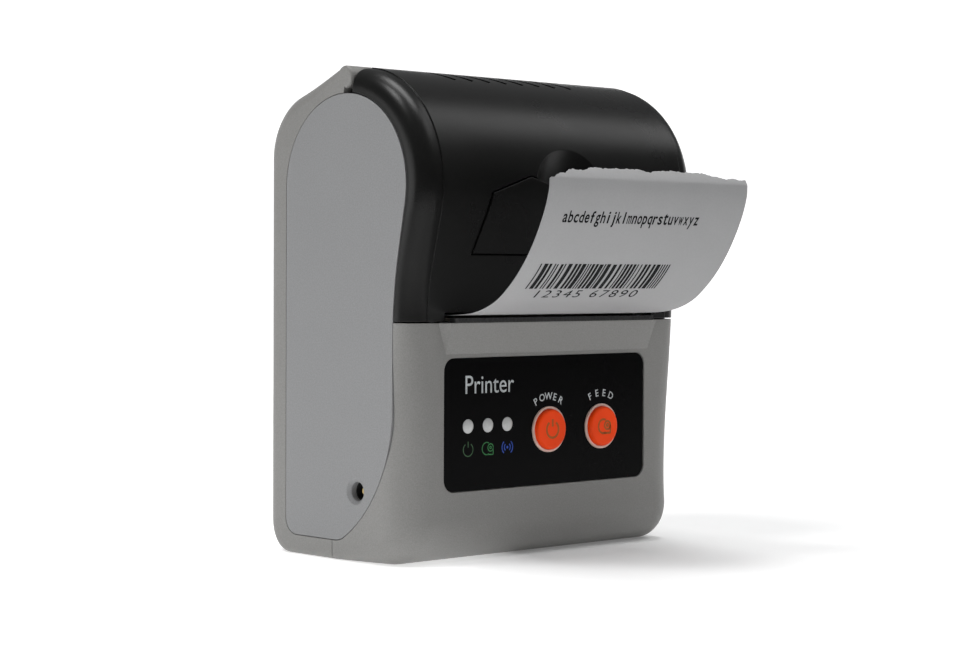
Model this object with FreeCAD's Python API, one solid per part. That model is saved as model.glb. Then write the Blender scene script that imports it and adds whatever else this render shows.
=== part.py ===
"""Portable thermal label printer: clamshell case, roll bin, platen, head, gears and keypad.

Millimetres. X runs to the right seen from the keypad side, Y to the rear, Z up.
The origin is on the flat underside, midway between the sides, below the lid's hinge.
"""
import FreeCAD
import Part
import math
import os

V = FreeCAD.Vector

# ---------------------------------------------------------------- driving dimensions
HALF_WIDTH = 40.6          # outer plane of each side panel
FACE_Y = -19.8             # front face of the case
REAR_Y = 25.5              # rear wall, outside
SEAM_Y = 3.4               # parting line between the two case shells, at the bottom
CASE_TOP = 49.4            # top edge of the front shell
WALL = 2.0                 # moulded wall
PANEL_WALL = 2.0           # side panel thickness
GAP = 0.15                 # assembly gap between fixed case parts
LID_GAP = 0.3              # gap around the lid

ROLL_Y = -0.2              # centre of the round upper part of the case
ROLL_Z = 77.2
LID_RADIUS = 24.7
LID_LEAN = 14.0            # degrees that the lid's face leans below the bulge
LID_LEAN_END = 60.5        # height where the leaning face starts to curve upright
PANEL_RADIUS = 19.1
PANEL_LEAN = 11.0
PANEL_LEAN_END = 64.0
PANEL_UPRIGHT = 46.0
PANEL_FOOT_RADIUS = 32.4   # large curve at the foot of the side panel
PANEL_BOTTOM = 4.2
PANEL_REAR = 18.9
PANEL_HEEL = 3.5
PANEL_CORNER = 6.0         # rounding between the foot curve and the lower edge

HINGE = (0.0, 99.7)
BARREL_R = 2.36
PIN_R = 1.0
KNUCKLE = (28.2, 33.4)     # X span of each lid knuckle
RUN = 0.05                 # running clearance on a radius

PAPER_HALF = 28.75
PAPER_THICK = 0.15
CORE_R = 6.3
FULL_ROLL_R = 18.0
BIN_R = 19.0
BIN_WALL = 1.3
BIN_LIP = 262.0            # degrees, front lip of the bin
BIN_END = 412.0

PLATEN = (-12.5, 55.0)
PLATEN_R = 4.0
PLATEN_SHAFT_R = 1.5
IDLER = (-4.80, 52.84)
MOTOR = (1.63, 45.18)
MODULE = 0.4
PRESSURE = 25.0
PLATEN_TEETH = 24
IDLER_SMALL_TEETH = 16
IDLER_BIG_TEETH = 36
PINION_TEETH = 14
SMALL_LAYER = (33.0, 35.0)   # X span of the platen gear
BIG_LAYER = (35.4, 37.2)     # X span of the motor pinion
PLATE_X = (31.4, 32.6)       # X span of each frame plate
NIP_Z = PLATEN[1] - PLATEN_R

BOARD_FRONT = -13.8
BOARD_BACK = -12.2
OVERLAY_Y = -19.55
OVERLAY_THICK = 0.3
OVERLAY_X = (-30.4, 29.0)
OVERLAY_Z = (14.9, 42.1)
POWER_XZ = (-0.4, 26.5)
FEED_XZ = (15.5, 26.5)
BUTTON_R = 4.3
BEZEL_R = 4.85
BUTTON_TRAVEL = 0.5
LED_XZ = ((-23.6, 28.1), (-18.0, 28.1), (-12.45, 28.1))
LED_R = 1.45
LED_DOME = 0.45         # how far a lamp stands out of the keypad
JACK_YZ = (-3.9, 14.6)
JACK_HOLE_R = 2.0

BATTERY_DOOR = (29.0, 7.0, 40.0)    # half width, bottom, top
CASE_SCREWS = ((-35.2, 9.0), (35.2, 9.0), (-35.2, 36.8), (35.2, 36.8))
BOARD_SCREWS = ((-28.0, 8.5), (28.0, 8.5), (-28.0, 38.5), (28.0, 38.5))

PARTS = {}


# ---------------------------------------------------------------- helpers
def polar(centre, radius, degrees):
    """Point (y, z) at an angle on a circle; 0 points to the rear, 90 points up."""
    angle = math.radians(degrees)
    return (centre[0] + radius * math.cos(angle), centre[1] + radius * math.sin(angle))


def arc(centre, radius, start, end):
    """Arc step for outline(): goes from angle start to angle end, in degrees."""
    return ("arc", polar(centre, radius, start),
            polar(centre, radius, (start + end) / 2), polar(centre, radius, end))


def outline(steps):
    """Closed YZ face at X = 0 from (y, z) points and arc steps."""
    edges = []
    last = None
    first = None

    def at(point):
        return V(0, point[0], point[1])

    def join(point):
        if last is not None and at(last).distanceToPoint(at(point)) > 1e-6:
            edges.append(Part.makeLine(at(last), at(point)))

    for step in steps:
        if step[0] == "arc":
            join(step[1])
            edges.append(Part.Arc(at(step[1]), at(step[2]), at(step[3])).toShape())
            first = first or step[1]
            last = step[3]
        else:
            join(step)
            first = first or step
            last = step
    join(first)
    return Part.Face(Part.Wire(edges))


def slab(steps, x0, x1):
    """Outline extruded along X from x0 to x1."""
    face = outline(steps)
    face.translate(V(x0, 0, 0))
    return face.extrude(V(x1 - x0, 0, 0))


def box(x0, x1, y0, y1, z0, z1):
    return Part.makeBox(x1 - x0, y1 - y0, z1 - z0, V(x0, y0, z0))


def rod_x(yz, radius, x0, x1):
    return Part.makeCylinder(radius, x1 - x0, V(x0, yz[0], yz[1]), V(1, 0, 0))


def rod_y(xz, radius, y0, y1):
    return Part.makeCylinder(radius, y1 - y0, V(xz[0], y0, xz[1]), V(0, 1, 0))


def tube_x(yz, outer, inner, x0, x1):
    return rod_x(yz, outer, x0, x1).cut(rod_x(yz, inner, x0 - 1, x1 + 1))


def tube_y(xz, outer, inner, y0, y1):
    return rod_y(xz, outer, y0, y1).cut(rod_y(xz, inner, y0 - 1, y1 + 1))


def fuse(shapes):
    body = shapes[0]
    for shape in shapes[1:]:
        body = body.fuse(shape)
    return body.removeSplitter()


def cut(body, tools):
    for tool in tools:
        body = body.cut(tool)
    return body


def mirror_x(shape):
    return shape.mirror(V(0, 0, 0), V(1, 0, 0))


def both(shape):
    """The shape and its mirror image on the other side."""
    return [shape, mirror_x(shape)]


def round_edges(shape, radii):
    """Fillet edges; radii(edge) gives None, or the radius at each end by height."""
    document = FreeCAD.newDocument()
    base = document.addObject("Part::Feature", "base")
    base.Shape = shape
    fillet = document.addObject("Part::Fillet", "fillet")
    fillet.Base = base
    chosen = []
    for number, edge in enumerate(shape.Edges, 1):
        radius = radii(edge)
        if radius is None:
            continue
        ends = (edge.Curve.value(edge.FirstParameter), edge.Curve.value(edge.LastParameter))
        chosen.append((number, radius(ends[0]), radius(ends[1])))
    fillet.Edges = chosen
    document.recompute()
    result = fillet.Shape.copy()
    FreeCAD.closeDocument(document.Name)
    return result


def add(name, shapes):
    """Keep one node: a single solid, or a group of separate solids."""
    if not isinstance(shapes, list):
        shapes = [shapes]
    solids = [solid for shape in shapes for solid in shape.Solids]
    PARTS[name] = Part.makeCompound(solids) if len(solids) > 1 else solids[0]


# ---------------------------------------------------------------- outlines of the case
ROLL_CENTRE = (ROLL_Y, ROLL_Z)


def lid_steps(inset, bottom, back):
    """Lid section: round bulge, leaning face, then a hollow curve to upright."""
    lean = math.radians(LID_LEAN)
    inward = (math.cos(lean), math.sin(lean))
    tangent = polar(ROLL_CENTRE, LID_RADIUS, 180 + LID_LEAN)
    end = (tangent[0] + (tangent[1] - LID_LEAN_END) * math.tan(lean), LID_LEAN_END)
    hollow_r = (LID_LEAN_END - CASE_TOP) / math.sin(lean)
    hollow = (end[0] - hollow_r * inward[0], end[1] - hollow_r * inward[1])
    radius = LID_RADIUS - inset
    top = math.degrees(math.acos((back - ROLL_Y) / radius))
    hollow_end = math.degrees(math.asin((bottom - hollow[1]) / (hollow_r + inset)))
    return [arc(ROLL_CENTRE, radius, top, 180 + LID_LEAN),
            arc(hollow, hollow_r + inset, LID_LEAN, hollow_end),
            (back, bottom)]


def panel_steps(grow):
    """Side panel outline, grown outward by a margin."""
    lean = math.radians(PANEL_LEAN)
    radius = PANEL_RADIUS + grow
    tangent = polar(ROLL_CENTRE, PANEL_RADIUS, 180 + PANEL_LEAN)
    end = (tangent[0] + (tangent[1] - PANEL_LEAN_END) * math.tan(lean), PANEL_LEAN_END)
    hollow_r = (PANEL_LEAN_END - PANEL_UPRIGHT) / math.sin(lean)
    hollow = (end[0] - hollow_r * math.cos(lean), PANEL_UPRIGHT)
    front = hollow[0] + hollow_r
    foot = (front + PANEL_FOOT_RADIUS, PANEL_FOOT_RADIUS)
    corner_reach = PANEL_FOOT_RADIUS - PANEL_CORNER
    drop = PANEL_FOOT_RADIUS - PANEL_CORNER - PANEL_BOTTOM
    foot_end = 180 + math.degrees(math.asin(drop / corner_reach))
    corner = polar(foot, corner_reach, foot_end)
    heel = (PANEL_REAR - PANEL_HEEL, PANEL_BOTTOM + PANEL_HEEL)
    return [arc(ROLL_CENTRE, radius, 0, 180 + PANEL_LEAN),
            arc(hollow, hollow_r - grow, PANEL_LEAN, 0),
            arc(foot, PANEL_FOOT_RADIUS + grow, 180, foot_end),
            arc(corner, PANEL_CORNER + grow, foot_end, 270),
            arc(heel, PANEL_HEEL + grow, 270, 360)]


FRONT_CURVE = 9.0          # radius of the front shell's lower edge


def front_steps(inset, top, back):
    """Front shell section: flat face, round lower edge, flat base."""
    centre = (FACE_Y + FRONT_CURVE, FRONT_CURVE)
    return [(FACE_Y + inset, top), arc(centre, FRONT_CURVE - inset, 180, 270),
            (back, inset), (back, top)]


def rear_steps(inset):
    """Rear shell section: base, rear wall, round shoulder, slope up to the hinge."""
    heel_r = 7.0
    shoulder_r = 14.0
    slope = math.radians(18.0)
    # the slope runs just under the top of the hinge barrel
    reach = REAR_Y - shoulder_r - HINGE[0]
    sink = shoulder_r - BARREL_R + 0.15
    shoulder = (REAR_Y - shoulder_r,
                HINGE[1] - (sink + reach * math.sin(slope)) / math.cos(slope))
    top = polar(shoulder, shoulder_r - inset, 72.0)
    ridge = (HINGE[0], top[1] + (top[0] - HINGE[0]) * math.tan(slope))
    seam = SEAM_Y + GAP
    return [(seam, inset), arc((REAR_Y - heel_r, heel_r), heel_r - inset, 270, 360),
            arc(shoulder, shoulder_r - inset, 0, 72.0), ridge,
            (HINGE[0], HINGE[1] - BARREL_R), (seam, ROLL_Z)]


def windows(grow):
    """Openings in both sides that take the side panels."""
    window = slab(panel_steps(grow), HALF_WIDTH - PANEL_WALL - GAP, HALF_WIDTH + 5)
    return both(window)


def on_side(edge):
    """True for an edge that lies in either outer side plane."""
    spread = [abs(abs(vertex.X) - HALF_WIDTH) for vertex in edge.Vertexes]
    return max(spread) < 1e-6


# ---------------------------------------------------------------- case shells
REAR_ROUND = 3.2           # rounding of the rear shell's upright edges
BARREL_ROUND = 0.6         # the same where they run into the hinge barrel
BASE_ROUND = 1.4           # rounding of the edges around the base
TOP_ROUND = 4.4            # front shell: rounding of the upright edges at the top
CURVE_ROUND = (7.5, 4.5)   # the same where the lower curve starts and ends


def rounded_front(inset, top, back):
    """Front shell's section as a solid with its side edges rounded."""
    half = HALF_WIDTH - inset

    def at_corner(point):
        if point.z > top - 1:
            return TOP_ROUND - inset
        if point.z > FRONT_CURVE - 1:
            return CURVE_ROUND[0] - inset
        if point.y < FACE_Y + FRONT_CURVE + 1:
            return CURVE_ROUND[1] - inset
        return max(BASE_ROUND - inset, 0.4)

    def radii(edge):
        middle = edge.CenterOfMass
        beside = min(abs(abs(vertex.X) - half) for vertex in edge.Vertexes) < 1e-6
        along = abs(edge.tangentAt(edge.FirstParameter).x) < 0.5
        if not beside or not along or middle.z > top - 1e-3 or middle.y > back - 1e-3:
            return None
        return at_corner

    return round_edges(slab(front_steps(inset, top, back), -half, half), radii)


def front_cover():
    inner = HALF_WIDTH - WALL
    body = rounded_front(0, CASE_TOP, SEAM_Y).cut(rounded_front(WALL, CASE_TOP + 1, SEAM_Y + 1))
    body = cut(body, windows(GAP))
    # wedge below the paper slot, with slanted ends
    half = 30.6
    low = [V(-half + 0.6, FACE_Y, 43.0), V(half - 0.6, FACE_Y, 43.0)]
    high = [V(half + 1.6, FACE_Y, CASE_TOP), V(-half - 1.6, FACE_Y, CASE_TOP)]
    lip = [V(half, FACE_Y - 2.1, CASE_TOP), V(-half, FACE_Y - 2.1, CASE_TOP)]
    faces = [Part.Face(Part.makePolygon(points + [points[0]])) for points in (
        [low[0], low[1], high[0], high[1]],
        [low[0], low[1], lip[0], lip[1]],
        [lip[0], high[0], high[1], lip[1]],
        [low[1], high[0], lip[0]],
        [low[0], lip[1], high[1]])]
    wedge = Part.makeSolid(Part.makeShell(faces))
    body = body.fuse(wedge)
    # keypad recess and the holes behind it
    recess = box(OVERLAY_X[0] - GAP, OVERLAY_X[1] + GAP, FACE_Y - 1, OVERLAY_Y + OVERLAY_THICK,
                 OVERLAY_Z[0] - GAP, OVERLAY_Z[1] + GAP)
    recess = recess.makeFillet(2.6 + GAP, [edge for edge in recess.Edges
                                           if abs(edge.tangentAt(edge.FirstParameter).y) > 0.99])
    holes = [rod_y(xz, BEZEL_R, FACE_Y - 1, FACE_Y + WALL + 1) for xz in (POWER_XZ, FEED_XZ)]
    holes += [rod_y(xz, LED_R + 0.05, FACE_Y - 1, FACE_Y + WALL + 1) for xz in LED_XZ]
    body = cut(body, [recess] + holes)
    # bosses for the case screws and for the main board, ribs under the print frame
    wall_back = FACE_Y + WALL - 0.2
    bosses = [rod_y(xz, 2.6, wall_back, 15.8) for xz in CASE_SCREWS]
    bosses += [rod_y(xz, 2.4, wall_back, BOARD_FRONT) for xz in BOARD_SCREWS]
    ribs = both(box(21.0, 23.0, wall_back, BOARD_FRONT - 0.4, 30.0, 44.2))
    body = fuse([body] + bosses + ribs)
    bores = [rod_y(xz, 1.15, 4.0, 16.0) for xz in CASE_SCREWS]
    bores += [rod_y(xz, 0.95, FACE_Y + WALL + 0.6, BOARD_FRONT + 1) for xz in BOARD_SCREWS]
    add("front_cover", cut(body, bores))


SCREW_SEAT = REAR_Y - 3.2  # where the heads of the case screws rest


def rear_cover():
    def at_corner(point):
        if point.z < 5:
            return BASE_ROUND
        return BARREL_ROUND if point.z > HINGE[1] else REAR_ROUND

    def radii(edge):
        if not on_side(edge) or edge.CenterOfMass.y < SEAM_Y + 1:
            return None
        return at_corner

    body = round_edges(slab(rear_steps(0), -HALF_WIDTH, HALF_WIDTH), radii)
    inner = HALF_WIDTH - PANEL_WALL - GAP
    cavity = slab(rear_steps(WALL), -inner, inner)
    cavity = cavity.fuse(box(-inner, inner, SEAM_Y - 1, SEAM_Y + 6, WALL, ROLL_Z))
    body = body.cut(cavity)
    body = cut(body, windows(GAP))
    # hinge barrel in three lengths, between the lid's two knuckles
    barrel = rod_x(HINGE, BARREL_R, -HALF_WIDTH, HALF_WIDTH)
    rims = [edge for edge in barrel.Edges if on_side(edge)]
    body = body.fuse(barrel.makeFillet(BARREL_ROUND, rims))
    body = cut(body, both(rod_x(HINGE, BARREL_R + 0.45, KNUCKLE[0] - LID_GAP,
                                KNUCKLE[1] + LID_GAP)))
    body = body.cut(rod_x(HINGE, PIN_R, -HALF_WIDTH + 0.6, HALF_WIDTH - 0.6))
    # battery hatch with a thin ledge around it
    half, low, high = BATTERY_DOOR
    body = body.cut(box(-half - GAP, half + GAP, REAR_Y - WALL / 2, REAR_Y + 1,
                        low - GAP, high + GAP))
    body = body.cut(box(-half + 1.2, half - 1.2, REAR_Y - WALL - 1, REAR_Y + 1,
                        low + 1.2, high - 1.2))
    # screw posts meeting the front shell's bosses
    posts = [rod_y(xz, 2.6, 15.8 + GAP, REAR_Y - WALL + 0.2) for xz in CASE_SCREWS]
    body = fuse([body] + posts)
    bores = [rod_y(xz, 1.3, 15, REAR_Y + 1) for xz in CASE_SCREWS]
    bores += [rod_y(xz, 2.3, SCREW_SEAT, REAR_Y + 1) for xz in CASE_SCREWS]
    add("rear_cover", cut(body, bores))


def side_panels():
    left = slab(panel_steps(0), -HALF_WIDTH, -HALF_WIDTH + PANEL_WALL)
    right = slab(panel_steps(0), HALF_WIDTH - PANEL_WALL, HALF_WIDTH)
    sink = Part.makeCone(JACK_HOLE_R + 0.75, JACK_HOLE_R, 0.7,
                         V(-HALF_WIDTH, JACK_YZ[0], JACK_YZ[1]), V(1, 0, 0))
    left = cut(left, [rod_x(JACK_YZ, JACK_HOLE_R, -HALF_WIDTH - 1, -HALF_WIDTH + 5), sink])
    # clips that hook behind the shells
    clip_x = (HALF_WIDTH - PANEL_WALL - 1.2, HALF_WIDTH - PANEL_WALL)
    clips = [box(clip_x[0], clip_x[1], y0, y0 + 4, z0, z0 + 5)
             for y0, z0 in ((-6.0, 26.0), (10.0, 26.0), (10.0, 66.0))]
    add("left_side_panel", fuse([left] + [mirror_x(clip) for clip in clips]))
    add("right_side_panel", fuse([right] + clips))


def case_screws():
    screws = []
    for xz in CASE_SCREWS:
        shaft = rod_y(xz, 1.1, 6.0, SCREW_SEAT + 0.2)
        head = rod_y(xz, 2.1, SCREW_SEAT, SCREW_SEAT + 1.4)
        low = SCREW_SEAT + 0.8
        flat = box(xz[0] - 1.4, xz[0] + 1.4, low, low + 1, xz[1] - 0.25, xz[1] + 0.25)
        upright = box(xz[0] - 0.25, xz[0] + 0.25, low, low + 1, xz[1] - 1.4, xz[1] + 1.4)
        screws.append(shaft.fuse(cut(head, [flat, upright])).removeSplitter())
    add("case_screws", screws)


def battery_door():
    half, low, high = BATTERY_DOOR
    door = box(-half, half, REAR_Y - WALL / 2, REAR_Y, low, high)
    plug = box(-half + 1.4, half - 1.4, REAR_Y - WALL, REAR_Y - WALL / 2, low + 1.4, high - 1.4)
    grips = [box(-9.0, 9.0, REAR_Y - 0.4, REAR_Y + 1, z, z + 0.8)
             for z in [high - 4.0 - 1.8 * row for row in range(4)]]
    add("battery_door", cut(door.fuse(plug).removeSplitter(), grips))


# ---------------------------------------------------------------- lid
LATCH_DEPTH = 1.5
LATCH_PIN_Z = 64.5


def latch_points(grow):
    """House-shaped outline of the lid's pull plate, with a notch for a finger."""
    low, shoulder, roof, notch = 63.5, 75.8, 79.4, 76.2
    return [(-25.2 - grow, low - grow), (25.2 + grow, low - grow),
            (21.8 + grow, shoulder + grow * 0.6), (11.0, roof + grow * 1.1),
            (0, notch + grow * 1.05), (-11.0, roof + grow * 1.1),
            (-21.8 - grow, shoulder + grow * 0.6)]


def front_prism(points, y0, y1):
    """Outline in XZ extruded along Y."""
    ring = [V(x, y0, z) for x, z in points]
    return Part.Face(Part.makePolygon(ring + [ring[0]])).extrude(V(0, y1 - y0, 0))


def lid_skin(outer, inner, half):
    """Layer of the lid between two insets."""
    low = CASE_TOP + 3
    return slab(lid_steps(outer, low, -8), -half, half).cut(
        slab(lid_steps(inner, low - 1, -7), -half - 1, half + 1))


def latch_pin_at():
    lean = math.radians(LID_LEAN)
    tangent = polar(ROLL_CENTRE, LID_RADIUS, 180 + LID_LEAN)
    surface = tangent[0] + (tangent[1] - LATCH_PIN_Z) * math.tan(lean)
    return (surface + 0.6, LATCH_PIN_Z)


LID_BACK = -2.0            # rear end of the lid's skin
LID_MIDDLE = 35.4          # half width of the raised middle of the lid
LID_STEP = 0.22            # height by which the middle stands proud of the ends
GRIP_ANGLE = 108.0         # where the grip grooves lie around the roll's centre


def cover_shell():
    bottom = CASE_TOP + LID_GAP

    def radii(edge):
        middle = edge.CenterOfMass
        low = middle.z < bottom + 0.1
        behind = middle.y > LID_BACK - 0.05
        if not on_side(edge) or low or behind:
            return None
        return lambda end: TOP_ROUND

    ends = slab(lid_steps(LID_STEP, bottom, LID_BACK), -HALF_WIDTH, HALF_WIDTH)
    raised = slab(lid_steps(0, bottom, LID_BACK), -LID_MIDDLE, LID_MIDDLE)
    body = fuse([round_edges(ends, radii), raised])
    inner = HALF_WIDTH - 2.8
    cavity = slab(lid_steps(WALL, bottom - 1, -1.0), -inner, inner)
    body = body.cut(cavity)
    body = cut(body, both(slab(panel_steps(GAP + 0.1), inner - 1, HALF_WIDTH + 5)))
    body = body.cut(box(-50, 50, -14.6, 5, 40, 60))
    # thick backing behind the pull plate, with its pocket and finger hollow
    backing = lid_skin(0.5, 3.1, 30).common(front_prism(latch_points(2.0), -30, -10))
    dome_r = 15.7
    dome = V(0, polar(ROLL_CENTRE, LID_RADIUS, 180)[0] - dome_r + 3.2, 78.2)
    bowl = Part.makeSphere(dome_r + 1.3, dome).common(
        slab(lid_steps(0.5, CASE_TOP + 3, -8), -14, 14)).common(
            box(-14, 14, -30, -10, 66, 92))
    body = body.fuse(backing).fuse(bowl)
    pocket = lid_skin(-2, LATCH_DEPTH, 30).common(front_prism(latch_points(0.35), -40, -10))
    body = body.cut(pocket).cut(Part.makeSphere(dome_r, dome))
    body = body.cut(rod_x(latch_pin_at(), 0.5, -27.0, 27.0))
    # paper slot
    body = body.cut(box(-30.8, 30.8, -30, -10, 40, 51.5))
    # slanted grip grooves across the top
    grooves = []
    for number in range(8):
        groove = box(-0.7, 0.7, -3.0, 3.0, -0.6, 1.0)
        groove.rotate(V(0, 0, 0), V(0, 0, 1), 32)
        groove.rotate(V(0, 0, 0), V(1, 0, 0), GRIP_ANGLE - 90)
        y, z = polar(ROLL_CENTRE, LID_RADIUS, GRIP_ANGLE)
        groove.translate(V(-20.5 + 4.9 * number, y, z))
        grooves.append(groove)
    body = cut(body, grooves)
    # knuckles reaching back to the hinge pin
    body = body.cut(rod_x(HINGE, BARREL_R + 0.4, -50, 50))
    body = body.cut(box(-50, 50, HINGE[0] - 2.7, 5, 90, 105))
    knuckles = []
    for side in (-1, 1):
        x0 = min(side * KNUCKLE[0], side * KNUCKLE[1])
        x1 = max(side * KNUCKLE[0], side * KNUCKLE[1])
        knuckles.append(rod_x(HINGE, BARREL_R - 0.1, x0, x1))
        knuckles.append(box(x0, x1, -4.5, -1.0, 99.1, 101.3))
    body = fuse([body] + knuckles)
    add("cover_shell", body.cut(rod_x(HINGE, PIN_R + RUN, -50, 50)))


def hinge_pin():
    add("hinge_pin", rod_x(HINGE, PIN_R, -HALF_WIDTH + 0.6, HALF_WIDTH - 0.6))


def cover_latch():
    plate = lid_skin(-0.3, LATCH_DEPTH - 0.35, 30).common(
        front_prism(latch_points(0), -40, -10))
    add("cover_latch", plate.cut(rod_x(latch_pin_at(), 0.5 + RUN, -30, 30)))
    add("latch_pin", rod_x(latch_pin_at(), 0.5, -27.0, 27.0))


BEARING_R = 2.5


def cover_frame():
    """Carrier inside the lid: two arms for the platen, joined by a front bar."""
    arm_x = (29.6, 31.2)
    reach = 3.6
    arm = slab([arc(PLATEN, reach, 180, 360), (PLATEN[0] + reach, 61.2), (-19.35, 61.2),
                (-18.8, 58.0), (-17.2, 57.0)], arm_x[0], arm_x[1])
    arm = arm.cut(rod_x(PLATEN, BEARING_R, 20, 40))
    bar = slab([(-18.8, 58.0), (-16.6, 58.0), (-16.6, 61.2), (-19.35, 61.2)],
               -arm_x[0], arm_x[0])
    add("cover_frame", fuse(both(arm) + [bar]))


def platen():
    add("platen_rubber", tube_x(PLATEN, PLATEN_R, PLATEN_SHAFT_R, -PAPER_HALF - 0.2,
                                PAPER_HALF + 0.2))
    add("platen_shaft", rod_x(PLATEN, PLATEN_SHAFT_R, -31.6, SMALL_LAYER[1] + 0.1))
    bush = tube_x(PLATEN, BEARING_R, PLATEN_SHAFT_R + RUN, 29.4, 31.3)
    add("platen_bushes", both(bush))


# ---------------------------------------------------------------- gears
def gear_face(teeth, centre, tooth_at, x):
    """Involute spur gear; one tooth is centred on the angle tooth_at (degrees)."""
    pitch_r = MODULE * teeth / 2
    base_r = pitch_r * math.cos(math.radians(PRESSURE))
    tip_r = pitch_r + 0.85 * MODULE
    root_r = pitch_r - 1.2 * MODULE
    backlash = 0.08

    def involute(radius):
        ratio = min(1.0, base_r / radius)
        angle = math.acos(ratio)
        return math.tan(angle) - angle

    half_tooth = (math.pi * MODULE / 2 - backlash) / (2 * pitch_r) + involute(pitch_r)
    start_r = max(base_r, root_r)
    radii = [start_r + (tip_r - start_r) * step / 4 for step in range(5)]
    points = []
    for tooth in range(teeth):
        middle = math.radians(tooth_at) + 2 * math.pi * tooth / teeth
        flank = [(radius, half_tooth - involute(radius)) for radius in radii]
        if root_r < base_r:
            flank.insert(0, (root_r, half_tooth))
        points += [(radius, middle - offset) for radius, offset in flank]
        points += [(radius, middle + offset) for radius, offset in reversed(flank)]
    ring = [V(x, centre[0] + r * math.cos(a), centre[1] + r * math.sin(a)) for r, a in points]
    return Part.Face(Part.makePolygon(ring + [ring[0]]))


def gear(teeth, centre, tooth_at, bore, layer):
    face = gear_face(teeth, centre, tooth_at, layer[0])
    blank = face.extrude(V(layer[1] - layer[0], 0, 0))
    return blank.cut(rod_x(centre, bore, layer[0] - 1, layer[1] + 1))


def heading(start, end):
    return math.degrees(math.atan2(end[1] - start[1], end[0] - start[0]))


def gear_train():
    half_pitch = 180.0 / IDLER_SMALL_TEETH
    to_idler = heading(PLATEN, IDLER)
    to_motor = heading(IDLER, MOTOR)
    add("platen_gear", gear(PLATEN_TEETH, PLATEN, to_idler, PLATEN_SHAFT_R, SMALL_LAYER))
    small = gear(IDLER_SMALL_TEETH, IDLER, to_idler + 180 + half_pitch, 0.75 + RUN,
                 (SMALL_LAYER[0], BIG_LAYER[0]))
    big = gear(IDLER_BIG_TEETH, IDLER, to_motor, 0.75 + RUN, BIG_LAYER)
    add("idler_gear", fuse([small, big]))
    add("motor_pinion", gear(PINION_TEETH, MOTOR, to_motor + 180 + 180.0 / PINION_TEETH,
                             0.75, BIG_LAYER))
    add("idler_axle", rod_x(IDLER, 0.75, PLATE_X[0], BIG_LAYER[1] + 0.5))
    add("motor_shaft", rod_x(MOTOR, 0.75, 28.4, BIG_LAYER[1] + 0.3))


# ---------------------------------------------------------------- print mechanism
MOTOR_R = 7.0


def print_frame():
    """Two upright plates and their cross bars; carries head, motor, gears and bin."""
    plate = [(-17.4, 44.2), (-17.4, 50.0), (-10.2, 50.0), (-10.2, 57.0), (-1.0, 57.0),
             (3.0, 54.2), (18.0, 54.2), (18.0, 50.0), (10.0, 37.6), (-6.0, 37.6), (-8.0, 44.2)]
    left = slab(plate, -PLATE_X[1], -PLATE_X[0])
    right = slab(plate, PLATE_X[0], PLATE_X[1])
    right = cut(right, [rod_x(IDLER, 0.75, 30, 40), rod_x(MOTOR, 2.0, 30, 40)])
    front_bar = box(-PLATE_X[0], PLATE_X[0], -17.4, -8.0, 44.2, 45.4)
    rear_bar = box(-PLATE_X[0], PLATE_X[0], 12.0, 18.0, 50.8, 52.0)
    sensor_arm = box(-25.0, -18.0, -8.0, -2.4, 44.2, 45.4)
    add("print_frame", fuse([left, right, front_bar, rear_bar, sensor_arm]))


def stepper_motor():
    can = rod_x(MOTOR, MOTOR_R, 14.4, PLATE_X[0])
    can = can.cut(rod_x(MOTOR, 0.75 + RUN, 28.0, 40))
    rim = tube_x(MOTOR, 1.9, 0.75 + RUN, PLATE_X[0] - 0.5, PLATE_X[1] - 0.2)
    add("stepper_motor", fuse([can, rim]))


def print_head():
    add("head_heatsink", box(-29.3, 29.3, -17.2, -6.8, 47.6, 49.6))
    ceramic = box(-29.0, 29.0, -16.8, -7.2, 49.6, 50.35)
    glaze = rod_x((PLATEN[0], 49.85), 0.8, -27.0, 27.0).common(
        box(-30, 30, -16, -9, 50.0, 51))
    add("thermal_head", fuse([ceramic, glaze]))
    springs = []
    for x in (-16.0, 16.0):
        coil = Part.makeHelix(0.62, 1.86, 1.4)
        section = Part.makeCircle(0.17, V(1.4, 0, 0), V(0, 1, 0))
        spring = Part.Wire(coil.Edges).makePipeShell([Part.Wire([section])], True, True)
        spring.translate(V(x, -12.0, 45.4 + 0.17))
        springs.append(spring)
    add("head_springs", springs)
    add("paper_sensor", box(-24.0, -19.0, -6.0, -3.0, 45.4, 52.5))


def ribbon_cable():
    """Flat cable from the head back and down to the board."""
    thick = 0.25
    bend = 2.0
    down = -4.2
    steps = [(-6.8, 48.9), arc((down - bend, 48.9 - bend), bend, 90, 0),
             arc((down - bend, 38.0), bend, 0, -90), (-9.4, 38.0 - bend),
             (-9.4, 38.0 - bend - thick),
             arc((down - bend, 38.0), bend + thick, -90, 0),
             arc((down - bend, 48.9 - bend), bend + thick, 0, 90), (-6.8, 48.9 + thick)]
    add("head_cable", slab(steps, -13.0, 13.0))


# ---------------------------------------------------------------- paper
ROLL_AXIS = (ROLL_Y, ROLL_Z - BIN_R + FULL_ROLL_R + 0.4)


def paper_bin():
    trough = slab([arc(ROLL_CENTRE, BIN_R + BIN_WALL, BIN_LIP, BIN_END),
                   arc(ROLL_CENTRE, BIN_R, BIN_END, BIN_LIP)], -29.8, 29.8)
    cheek = slab([arc(ROLL_CENTRE, BIN_R + BIN_WALL, BIN_LIP, BIN_END), ROLL_CENTRE],
                 29.8, PLATE_X[0])
    feet = [box(x - 1, x + 1, 12.0, 17.0, 52.0, 62.0) for x in (-22.0, 22.0)]
    feet = [foot.cut(rod_x(ROLL_CENTRE, BIN_R + 0.5, -40, 40)) for foot in feet]
    add("paper_bin", fuse([trough] + both(cheek) + feet))


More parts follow.
